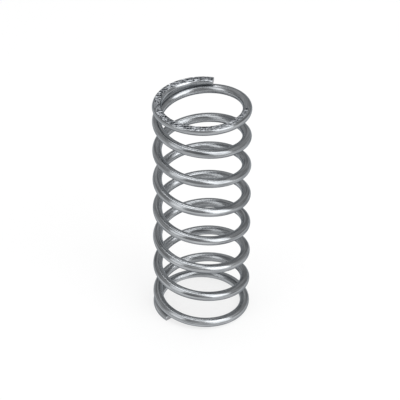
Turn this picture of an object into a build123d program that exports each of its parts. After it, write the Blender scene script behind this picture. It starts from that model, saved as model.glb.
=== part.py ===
from build123d import *
import os
from math import cos, pi, radians, sin

# A small compression spring: one length of round spring-steel wire, cold coiled left hand.
# Both ends are closed, each tip laid against the coil next to it, and then ground flat.
# +Z is the coil's axis, and the origin is the centre of the bottom ground face.

# Driving dimensions, in millimetres, turns and degrees
wire_diameter = 1.8
outside_diameter = 19.0
free_length = 47.0  # from ground face to ground face, unloaded
total_turns = 8.41  # from tip to tip
closed_turns = 0.57  # at each end, laid nearly flat before the pitch opens
opening_turns = 0.46  # at each end, over which the pitch opens to that of the active coils
seat_gap = 0.1  # left between each tip and the coil it is closed against
tip_thickness = 1.05  # of the wire left at each tip once its face is ground
bottom_tip_angle = 223.6  # where the bottom tip lies, counter-clockwise from +X
arcs_per_turn = 12  # the wire's centreline is a chain of tangent arcs

# Sizes that follow
wire_radius = wire_diameter / 2
mean_radius = outside_diameter / 2 - wire_radius
tip_height = tip_thickness - wire_radius  # of the centreline above the ground face, at a tip
centreline_height = free_length - 2 * tip_height
end_turns = closed_turns + opening_turns

# The pitch is closed_pitch over the closed turns, opens evenly over the opening turns, and is
# closed_pitch + pitch_opening between the two ends. Two conditions fix both: a tip's first turn
# climbs by one wire and the seat gap, and the whole centreline climbs by its height.
seat_rise = wire_diameter + seat_gap
opened_at_seat = (1 - closed_turns) ** 2 / (2 * opening_turns)
opened_in_all = total_turns - 2 * end_turns + opening_turns
pitch_opening = (centreline_height - total_turns * seat_rise) / (
    opened_in_all - total_turns * opened_at_seat
)
closed_pitch = seat_rise - opened_at_seat * pitch_opening


def climb(turns):
    """How far the centreline climbs in this many turns from a tip, up to mid-length."""
    opening = min(max(turns - closed_turns, 0), opening_turns)
    active = max(turns - end_turns, 0)
    return closed_pitch * turns + pitch_opening * (opening**2 / (2 * opening_turns) + active)


def centre_point(turns):
    """The point of the centreline this many turns up from the bottom tip, wound left hand."""
    from_top = total_turns - turns
    height = climb(turns) if turns < from_top else centreline_height - climb(from_top)
    angle = radians(bottom_tip_angle - 360 * turns)
    return (mean_radius * cos(angle), mean_radius * sin(angle), tip_height + height)


# The arcs meet at stations: at each change of pitch, and evenly spaced between
pitch_changes = [0, closed_turns, end_turns]
pitch_changes += [total_turns - turns for turns in reversed(pitch_changes)]
stations = [0]
for first, last in zip(pitch_changes[:-1], pitch_changes[1:]):
    arc_count = max(1, round((last - first) * arcs_per_turn))
    stations += [first + (last - first) * (i + 1) / arc_count for i in range(arc_count)]

# The spring: the round wire swept up its centreline, then both ends ground flat
tip_angle = radians(bottom_tip_angle)
tip_direction = (sin(tip_angle), -cos(tip_angle), closed_pitch / (2 * pi * mean_radius))
with BuildPart() as compression_spring:
    with BuildLine() as centreline:
        heading = tip_direction
        for start, end in zip(stations[:-1], stations[1:]):
            arc = TangentArc(centre_point(start), centre_point(end), tangent=heading)
            heading = arc % 1
    with BuildSketch(Plane(origin=centre_point(0), z_dir=tip_direction)):
        Circle(wire_radius)
    sweep(is_frenet=True, clean=False)
    with BuildSketch(Plane.XY):
        Circle(outside_diameter)
    extrude(amount=free_length, clean=False, mode=Mode.INTERSECT)
compression_spring.part.label = "compression_spring"

print(f"closed pitch {closed_pitch:.3f} mm, active pitch {closed_pitch + pitch_opening:.3f} mm")
print(f"wire length {centreline.wire().length:.1f} mm, volume {compression_spring.part.volume:.1f} mm3")

os.makedirs("parts", exist_ok=True)
export_step(compression_spring.part, "parts/compression_spring.step")
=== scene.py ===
from math import cos, pi, radians, sin

import bpy
from mathutils import Matrix, Vector


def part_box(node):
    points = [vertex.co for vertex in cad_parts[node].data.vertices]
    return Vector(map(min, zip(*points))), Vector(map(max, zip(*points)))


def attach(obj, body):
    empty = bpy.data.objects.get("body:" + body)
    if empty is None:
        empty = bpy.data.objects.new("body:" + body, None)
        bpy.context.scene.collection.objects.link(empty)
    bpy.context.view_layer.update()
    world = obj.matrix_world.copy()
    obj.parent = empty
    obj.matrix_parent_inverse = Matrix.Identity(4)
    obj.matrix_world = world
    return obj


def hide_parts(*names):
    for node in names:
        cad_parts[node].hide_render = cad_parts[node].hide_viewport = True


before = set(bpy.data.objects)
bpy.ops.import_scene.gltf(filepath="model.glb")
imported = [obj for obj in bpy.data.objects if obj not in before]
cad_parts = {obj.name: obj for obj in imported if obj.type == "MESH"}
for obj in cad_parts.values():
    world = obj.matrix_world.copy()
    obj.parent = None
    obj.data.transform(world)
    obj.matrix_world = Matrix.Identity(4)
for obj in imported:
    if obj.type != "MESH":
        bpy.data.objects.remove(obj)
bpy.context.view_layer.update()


# ---- The straight wire ----
# Cold-drawn, patented high-carbon spring steel, 1.8 mm round, cut from the reel.
# It leaves the drawing die bright grey, with fine lines along it and faint blotches of soap.
MM = 0.001
low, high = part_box("compression_spring")
wire_radius = 0.91 * MM  # 0.01 mm over half the nominal size
coil_radius = (high.x - low.x) / 2 - wire_radius
free_length = high.z - low.z

# The coiling, worked out first because it says how much wire is cut: the end turns lie closed
# on their neighbours, then the pitch opens evenly until the coils in between are all alike.
total_turns = 8.41
closed_turns = 0.57
opening_turns = 0.46
seat_gap = 0.1 * MM  # between a tip and the coil that it is closed against
seat_rise = 2 * wire_radius + seat_gap
tip_height = 0.15 * MM  # of the wire's middle above the ground face, at a tip
bottom_tip_angle = radians(223.6)
unevenness = 0.1 * MM  # how far the coils stand above or below an even pitch

end_turns = closed_turns + opening_turns
opened_at_seat = (1 - closed_turns) ** 2 / (2 * opening_turns)
opened_in_all = total_turns - 2 * end_turns + opening_turns
climb_in_all = free_length - 2 * tip_height
pitch_opening = (climb_in_all - total_turns * seat_rise) / (
    opened_in_all - total_turns * opened_at_seat
)
closed_pitch = seat_rise - opened_at_seat * pitch_opening


def climb(turns):
    """How far the coil climbs in this many turns from a tip, up to mid-length."""
    opening = min(max(turns - closed_turns, 0), opening_turns)
    active = max(turns - end_turns, 0)
    return closed_pitch * turns + pitch_opening * (opening**2 / (2 * opening_turns) + active)


settle_depth = 0.38 * MM
settled_from = 0.12  # turns from the top tip
settled_to = 0.25
settle_ends = 0.5


def settle(turns):
    """How much lower the top coil lies just past the tip, which closes the gap under it."""
    down = min(turns / settled_from, 1)
    back = min(max((settle_ends - turns) / (settle_ends - settled_to), 0), 1)
    return settle_depth * down * down * (3 - 2 * down) * back * back * (3 - 2 * back)


def coil_point(turns):
    """The middle of the wire, this many turns up from the bottom tip, wound left hand."""
    from_top = total_turns - turns
    height = climb(turns) if turns < from_top else climb_in_all - climb(from_top) - settle(from_top)
    height -= unevenness * sin(2 * pi * turns / total_turns)
    angle = bottom_tip_angle - 2 * pi * turns
    return Vector((coil_radius * cos(angle), coil_radius * sin(angle), tip_height + height))


path_steps = 480
path_points = [coil_point(i / path_steps) for i in range(int(total_turns * path_steps) + 1)]
path_points.append(coil_point(total_turns))
wire_length = sum((b - a).length for a, b in zip(path_points, path_points[1:]))


def deselect_all():
    """Later operators then act only on what is selected for them."""
    for thing in bpy.context.selected_objects:
        thing.select_set(False)


def edit_selected(mesh, kind, chosen):
    """Select the edges or faces that chosen() picks, and stay in edit mode."""
    bpy.ops.object.mode_set(mode="EDIT")
    bpy.ops.mesh.select_mode(type=kind)
    bpy.ops.mesh.select_all(action="DESELECT")
    bpy.ops.object.mode_set(mode="OBJECT")
    for element in mesh.edges if kind == "EDGE" else mesh.polygons:
        element.select = chosen(element)
    bpy.ops.object.mode_set(mode="EDIT")


def runs_along(edge):
    """Whether an edge lies along the straight wire."""
    first, second = (wire.data.vertices[i].co.x for i in edge.vertices)
    return abs(first - second) > 0.01 * MM


# The wire lies straight along +X, its long edges cut into about 155 rings for each turn to come
wire_sides = 36
deselect_all()
bpy.ops.mesh.primitive_cylinder_add(
    vertices=wire_sides, radius=wire_radius, depth=wire_length,
    location=(wire_length / 2, 0, 0), rotation=(0, pi / 2, 0), end_fill_type="NGON",
)
wire = bpy.context.object
wire.name = "spring_wire"
bpy.ops.object.transform_apply(location=True, rotation=True, scale=True)
for cuts in (99, 12):
    edit_selected(wire.data, "EDGE", runs_along)
    bpy.ops.mesh.subdivide(number_cuts=cuts)
    bpy.ops.object.mode_set(mode="OBJECT")


def linear(hex_colour):
    """A linear RGBA colour from an sRGB hex value."""
    values = [int(hex_colour[i:i + 2], 16) / 255 for i in (1, 3, 5)]
    return [v / 12.92 if v <= 0.04045 else ((v + 0.055) / 1.055) ** 2.4 for v in values] + [1]


def new_material(name):
    """A node material, with its tree and its shader."""
    material = bpy.data.materials.new(name)
    material.use_nodes = True
    return material, material.node_tree, material.node_tree.nodes["Principled BSDF"]


def add_node(tree, kind, settings, links):
    """Add one node. A link's value is an output socket, and a plain value sets the input."""
    node = tree.nodes.new(kind)
    for name, value in settings.items():
        setattr(node, name, value)
    for name, value in links.items():
        if isinstance(value, bpy.types.NodeSocket):
            tree.links.new(value, node.inputs[name])
        else:
            node.inputs[name].default_value = value
    return node


# Drawn spring steel: satin bright, a little brighter and duller by turns along its length, with
# die lines that break a highlight into fine streaks. Real ones are 0.02 to 0.05 mm wide, too fine
# to see at this size, so they are drawn 0.32 mm wide and 12 mm long. Its edges mirror a little
# less than a plain metal's, which keeps each strand's outline against a bright background.
drawn_steel, tree, shader = new_material("drawn_spring_steel")
wire.data.materials.append(drawn_steel)
along_wire = add_node(tree, "ShaderNodeAttribute", {"attribute_name": "drawn_wire"}, {})
line_width = 0.32 * MM
line_length = 12 * MM
line_depth = 0.0025 * MM
lines_at = add_node(tree, "ShaderNodeMapping", {}, {
    "Vector": along_wire.outputs["Vector"],
    "Scale": (1 / line_length, 1 / line_width, 1 / line_width),
})
die_lines = add_node(tree, "ShaderNodeTexNoise", {}, {
    "Vector": lines_at.outputs["Vector"], "Scale": 1, "Detail": 2, "Roughness": 0.6,
})
blotch_width = 0.5 * MM
blotch_length = 4 * MM
blotches_at = add_node(tree, "ShaderNodeMapping", {}, {
    "Vector": along_wire.outputs["Vector"],
    "Scale": (1 / blotch_length, 1 / blotch_width, 1 / blotch_width),
})
blotches = add_node(tree, "ShaderNodeTexNoise", {}, {
    "Vector": blotches_at.outputs["Vector"], "Scale": 1, "Detail": 4, "Roughness": 0.6,
})
# Half of the tone comes from the die lines and half from the blotches
line_tone = add_node(tree, "ShaderNodeMapRange", {}, {
    "Value": die_lines.outputs["Fac"],
    "From Min": 0.34, "From Max": 0.66, "To Min": 0.0, "To Max": 0.5,
})
blotch_tone = add_node(tree, "ShaderNodeMapRange", {}, {
    "Value": blotches.outputs["Fac"],
    "From Min": 0.3, "From Max": 0.7, "To Min": 0.0, "To Max": 0.5,
})
steel_tone = add_node(tree, "ShaderNodeMath", {"operation": "ADD"}, {
    0: line_tone.outputs["Result"], 1: blotch_tone.outputs["Result"],
})
steel_colour = add_node(tree, "ShaderNodeMix", {"data_type": "RGBA"}, {
    0: steel_tone.outputs["Value"], 6: linear("#636669"), 7: linear("#c5c8cb"),
})
tree.links.new(steel_colour.outputs[2], shader.inputs["Base Color"])
dullness = add_node(tree, "ShaderNodeMapRange", {}, {
    "Value": blotches.outputs["Fac"],
    "From Min": 0.3, "From Max": 0.7, "To Min": 0.18, "To Max": 0.26,
})
tree.links.new(dullness.outputs["Result"], shader.inputs["Roughness"])
line_relief = add_node(tree, "ShaderNodeBump", {}, {
    "Height": die_lines.outputs["Fac"], "Strength": 1, "Distance": line_depth,
})
tree.links.new(line_relief.outputs["Normal"], shader.inputs["Normal"])
shader.inputs["Metallic"].default_value = 1
shader.inputs["Specular Tint"].default_value = linear("#b4b8bc")


# ---- The cut ends ----
# A blade shears the wire off the reel at both ends, which leaves a dull grey, grainy break
# across each, sunk a little below its rim. The rim is slightly rounded and has no burr here.
cut_rim = 0.07 * MM


def is_cut_end(face):
    """Whether a face closes an end of the straight wire."""
    return abs(face.normal.x) > 0.9


sheared_steel, tree, shader = new_material("sheared_steel")
wire.data.materials.append(sheared_steel)
for face in wire.data.polygons:
    face.material_index = 1 if is_cut_end(face) else 0
edit_selected(wire.data, "FACE", is_cut_end)
bpy.ops.mesh.bevel(offset=cut_rim, segments=2, affect="EDGES")
bpy.ops.object.mode_set(mode="OBJECT")

# Sheared steel: torn crystals that scatter light evenly. They are finer than 0.05 mm, and are
# drawn 0.25 mm across so that the break still looks grainy.
grain_size = 0.25 * MM
grain_depth = 0.1 * MM
in_place = add_node(tree, "ShaderNodeTexCoord", {}, {})
break_grain = add_node(tree, "ShaderNodeTexNoise", {}, {
    "Vector": in_place.outputs["Object"], "Scale": 1 / grain_size, "Detail": 3, "Roughness": 0.7,
})
break_colour = add_node(tree, "ShaderNodeMix", {"data_type": "RGBA"}, {
    0: break_grain.outputs["Fac"], 6: linear("#77797d"), 7: linear("#d0d1d3"),
})
tree.links.new(break_colour.outputs[2], shader.inputs["Base Color"])
break_relief = add_node(tree, "ShaderNodeBump", {}, {
    "Height": break_grain.outputs["Fac"], "Strength": 1, "Distance": grain_depth,
})
tree.links.new(break_relief.outputs["Normal"], shader.inputs["Normal"])
shader.inputs["Metallic"].default_value = 1
shader.inputs["Roughness"].default_value = 0.5


# ---- Coiling ----
# The wire is wound left hand on a former. Each point keeps where it was on the straight wire,
# so that the die lines run round the coils with it.
drawn = wire.data.attributes.new("drawn_wire", "FLOAT_VECTOR", "POINT")
for vertex, value in zip(wire.data.vertices, drawn.data):
    value.vector = vertex.co

path_curve = bpy.data.curves.new("former_path", "CURVE")
path_curve.dimensions = "3D"
path_curve.twist_mode = "Z_UP"
spline = path_curve.splines.new("POLY")
spline.points.add(len(path_points) - 1)
for point, place in zip(spline.points, path_points):
    point.co = (*place, 1)
former = bpy.data.objects.new("former", path_curve)
bpy.context.scene.collection.objects.link(former)
coiling = wire.modifiers.new("coiling", "CURVE")
coiling.object = former
coiling.deform_axis = "POS_X"
bpy.ops.object.modifier_apply(modifier="coiling")
bpy.data.objects.remove(former)


# ---- The ground ends ----
# Both end coils are ground flat and square on a coarse wheel, so that the spring stands upright.
# The flat runs from the thin tip round most of the end turn, and its scratches all run one way.
same_level = 0.001 * MM
ground_rim = 0.035 * MM
break_depth = 0.07 * MM
ground_steel, tree, shader = new_material("ground_steel")
wire.data.materials.append(ground_steel)
for height, outwards in ((0.0, -1), (free_length, 1)):
    edit_selected(wire.data, "FACE", lambda face: True)
    bpy.ops.mesh.bisect(
        plane_co=(0, 0, height), plane_no=(0, 0, outwards),
        use_fill=True, clear_outer=True, threshold=1e-7,
    )
    bpy.ops.object.mode_set(mode="OBJECT")
for face in wire.data.polygons:
    level = min(abs(face.center.z), abs(face.center.z - free_length))
    if level < same_level and abs(face.normal.z) > 0.999:
        face.material_index = 2
        face.use_smooth = False

# The wheel leaves a keen edge, which is slightly rounded here
materials_at_edge = {}
for face in wire.data.polygons:
    for key in face.edge_keys:
        materials_at_edge.setdefault(key, set()).add(face.material_index)
edit_selected(wire.data, "EDGE", lambda edge: materials_at_edge[edge.key] == {0, 2})
bpy.ops.mesh.bevel(
    offset=ground_rim, segments=2, affect="EDGES", clamp_overlap=False, material=0,
)
bpy.ops.mesh.select_all(action="SELECT")
bpy.ops.mesh.remove_doubles(threshold=same_level)
bpy.ops.object.mode_set(mode="OBJECT")

# What is left of each cut end, its one large face, sinks below its rim where the steel broke away
edit_selected(wire.data, "FACE", lambda face: face.material_index == 1 and face.area > 0.5 * MM**2)
bpy.ops.mesh.poke(offset=-break_depth)
bpy.ops.object.mode_set(mode="OBJECT")
bpy.ops.object.shade_smooth_by_angle(angle=radians(30))

# Ground steel: bright and torn together. Real grit scratches are about 0.05 mm wide, too fine to
# see at this size, so they are drawn 0.3 mm wide and 1.6 mm long, with torn spots 0.5 mm across
# between them. Their broken glitter is painted into the colour: the bright specks are painted
# glints and the dark specks are painted shade in the torn pits. Its edges mirror less, as the
# drawn steel's do.
scratch_width = 0.3 * MM
scratch_length = 1.6 * MM
torn_size = 0.5 * MM
ground_depth = 0.2 * MM
in_place = add_node(tree, "ShaderNodeTexCoord", {}, {})
scratches_at = add_node(tree, "ShaderNodeMapping", {}, {
    "Vector": in_place.outputs["Object"],
    "Rotation": (0, 0, radians(-8)),
    "Scale": (1 / scratch_length, 1 / scratch_width, 0),
})
scratches = add_node(tree, "ShaderNodeTexNoise", {}, {
    "Vector": scratches_at.outputs["Vector"], "Scale": 1, "Detail": 2, "Roughness": 0.6,
})
torn_spots = add_node(tree, "ShaderNodeTexNoise", {}, {
    "Vector": in_place.outputs["Object"], "Scale": 1 / torn_size, "Detail": 3, "Roughness": 0.7,
})
ground_height = add_node(tree, "ShaderNodeMath", {"operation": "ADD"}, {
    0: scratches.outputs["Fac"], 1: torn_spots.outputs["Fac"],
})
scratch_tone_and_painted_glints = add_node(tree, "ShaderNodeMapRange", {}, {
    "Value": ground_height.outputs["Value"],
    "From Min": 0.89, "From Max": 1.2, "To Min": 0.0, "To Max": 1.0,
})
# The scratch and torn pattern is real, but its pale end is painted glints of light and its dark end
# is painted shade in the pits
ground_colour_and_painted_glints = add_node(tree, "ShaderNodeMix", {"data_type": "RGBA"}, {
    0: scratch_tone_and_painted_glints.outputs["Result"], 6: linear("#292d32"), 7: linear("#e2e6eb"),
})
tree.links.new(ground_colour_and_painted_glints.outputs[2], shader.inputs["Base Color"])
ground_relief = add_node(tree, "ShaderNodeBump", {}, {
    "Height": ground_height.outputs["Value"], "Strength": 1, "Distance": ground_depth,
})
tree.links.new(ground_relief.outputs["Normal"], shader.inputs["Normal"])
shader.inputs["Metallic"].default_value = 1
shader.inputs["Specular Tint"].default_value = linear("#b4b8bc")
shader.inputs["Roughness"].default_value = 0.32

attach(wire, "root")
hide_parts("compression_spring")


# ---- The studio ----
# A white paper floor under three softboxes: a tall one to the right of the camera, a narrower and
# weaker one to its left, and one overhead. The room beyond is a plain grey.
deselect_all()
bpy.ops.mesh.primitive_plane_add(size=6.0, location=(0, 0, 0))
floor = bpy.context.object
floor.name = "floor"
white_paper, tree, shader = new_material("white_paper")
floor.data.materials.append(white_paper)
shader.inputs["Base Color"].default_value = linear("#808080")
shader.inputs["Roughness"].default_value = 0.9
shader.inputs["Specular IOR Level"].default_value = 0
light_path = add_node(tree, "ShaderNodeLightPath", {}, {})
seen_or_mirrored = add_node(tree, "ShaderNodeMath", {"operation": "MAXIMUM"}, {
    0: light_path.outputs["Is Camera Ray"], 1: light_path.outputs["Is Glossy Ray"],
})
seen = add_node(tree, "ShaderNodeMath", {"operation": "MAXIMUM"}, {
    0: seen_or_mirrored.outputs["Value"], 1: light_path.outputs["Is Transmission Ray"],
})
paper_glow = 0.74  # what the lamps leave short of white
lift = add_node(tree, "ShaderNodeMath", {"operation": "MULTIPLY"}, {
    0: seen.outputs["Value"], 1: paper_glow,
})
glow = add_node(tree, "ShaderNodeEmission", {}, {
    "Color": (1, 1, 1, 1), "Strength": lift.outputs["Value"],
})
lit_and_glowing = add_node(tree, "ShaderNodeAddShader", {}, {
    0: shader.outputs["BSDF"], 1: glow.outputs["Emission"],
})
tree.links.new(lit_and_glowing.outputs["Shader"], tree.nodes["Material Output"].inputs["Surface"])

room = bpy.data.worlds.new("grey_room")
bpy.context.scene.world = room
room.use_nodes = True
walls = room.node_tree.nodes["Background"]
walls.inputs["Color"].default_value = linear("#b6b6b6")
walls.inputs["Strength"].default_value = 1

middle = Vector((0, 0, free_length / 2))


def add_softbox(name, bearing, height, width, tall, brightness):
    """A softbox 0.65 m off, at this bearing (from straight behind, clockwise) and height."""
    away = 0.65
    bearing, height = radians(bearing), radians(height)
    towards = Vector((sin(bearing) * cos(height), cos(bearing) * cos(height), sin(height)))
    data = bpy.data.lights.new(name, "AREA")
    data.shape = "RECTANGLE"
    data.size = width
    data.size_y = tall
    data.energy = brightness * pi * width * tall
    box = bpy.data.objects.new(name, data)
    box.location = middle + away * towards
    box.rotation_euler = towards.to_track_quat("Z", "Y").to_euler()
    bpy.context.scene.collection.objects.link(box)


add_softbox("softbox_right", 130, 30, 0.52, 0.74, 2.4)
add_softbox("softbox_left", -129, 30, 0.34, 0.70, 1.35)
add_softbox("softbox_above", 0, 88, 0.54, 0.54, 2.8)

camera_data = bpy.data.cameras.new("camera")
camera = bpy.data.objects.new("camera", camera_data)
bpy.context.scene.collection.objects.link(camera)
elevation = radians(35.5)
roll = radians(0.25)
distance = 58.1 * coil_radius
camera.location = middle + distance * Vector((0, -cos(elevation), sin(elevation)))
looking = Matrix.Rotation(pi / 2 - elevation, 3, "X") @ Matrix.Rotation(roll, 3, "Z")
camera.rotation_euler = looking.to_euler()
camera_data.sensor_width = 36
camera_data.lens = 231.35
camera_data.shift_x = -0.0042
camera_data.shift_y = 0.0120
camera_data.clip_start = 0.01
bpy.context.scene.camera = camera
bpy.context.scene.view_settings.view_transform = "Standard"
